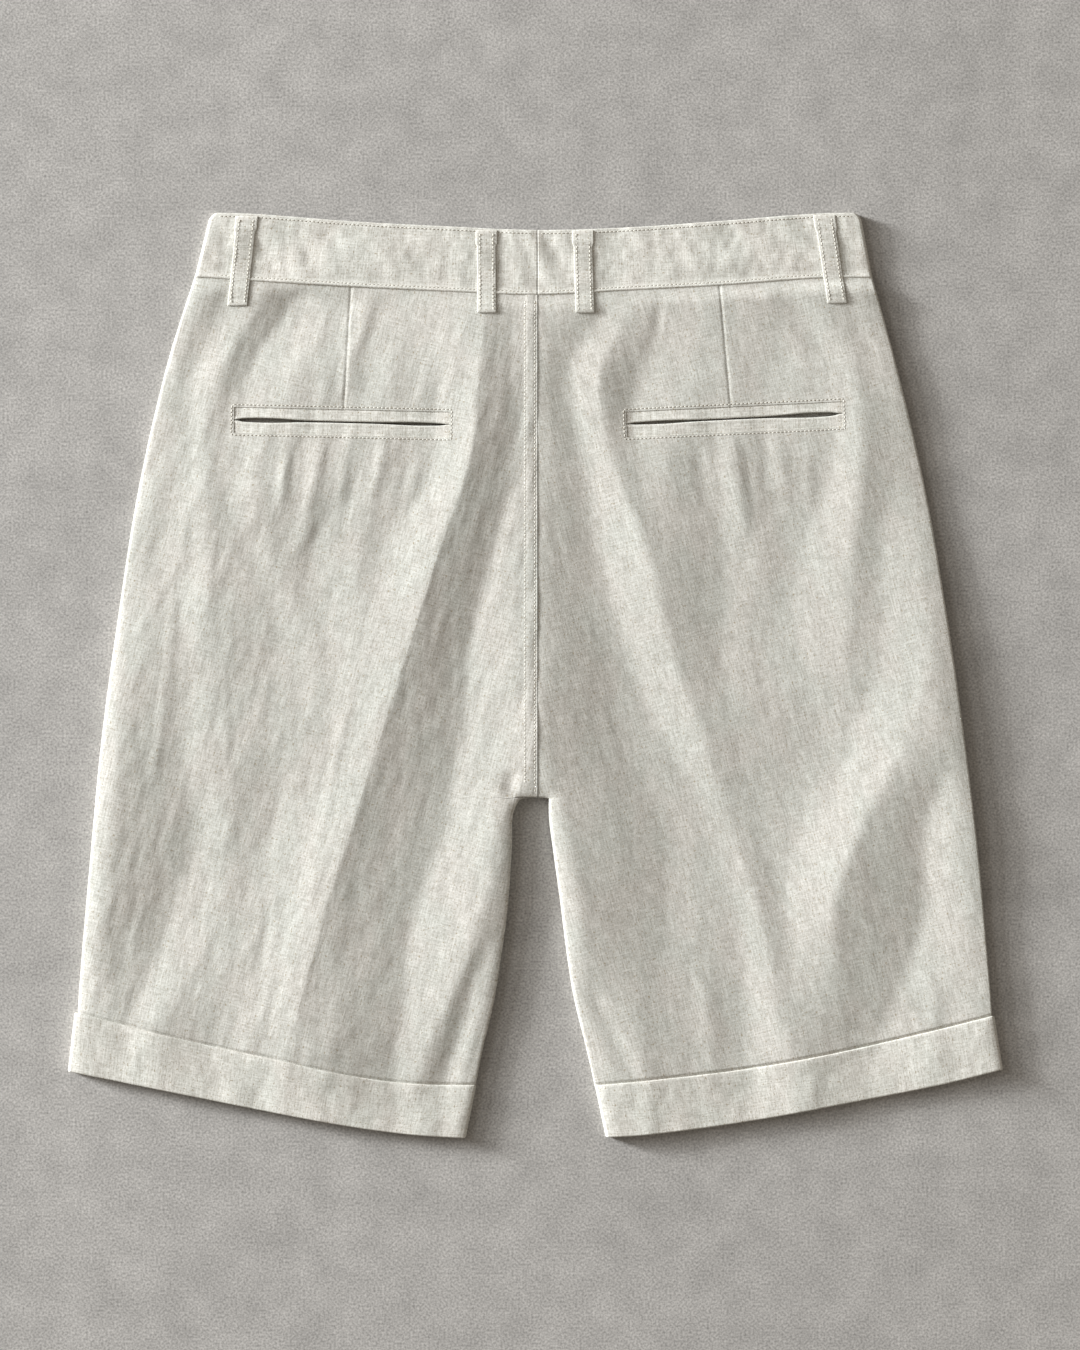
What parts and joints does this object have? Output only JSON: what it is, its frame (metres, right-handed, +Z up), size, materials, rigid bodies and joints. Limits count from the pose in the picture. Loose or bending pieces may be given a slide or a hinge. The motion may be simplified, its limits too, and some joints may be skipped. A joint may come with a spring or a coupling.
{
  "type": "bermuda shorts",
  "caption": "Pair of linen bermuda shorts laid flat with the back up: waistband with belt loops, darts, welt pockets, pressed creases and turned-up cuffs.",
  "frame": {"origin": "centre of the shorts' bounding box, on the surface that they lie on", "axes": "+Z up from the surface through the fronts to the back, +Y towards the waistband, +X towards the wearer's right leg"},
  "size_m": [0.6076, 0.6014, 0.0087],
  "materials": {
    "linen_panel": "undyed plain-weave linen, matt, slubbed, pressed with soft creases",
    "linen_trim": "the same linen doubled, in the waistband, loops, welts and cuffs"
  },
  "bodies": {
    "root": {"front_left": "linen_panel", "front_right": "linen_panel", "back_left": "linen_panel", "back_right": "linen_panel", "waistband_left": "linen_trim", "waistband_right": "linen_trim", "cuff_left": "linen_trim", "cuff_right": "linen_trim", "loop_side_left": "linen_trim", "loop_back_left": "linen_trim", "loop_back_right": "linen_trim", "loop_side_right": "linen_trim", "welt_upper_left": "linen_trim", "welt_lower_left": "linen_trim", "welt_upper_right": "linen_trim", "welt_lower_right": "linen_trim"}
  },
  "joints": []
}
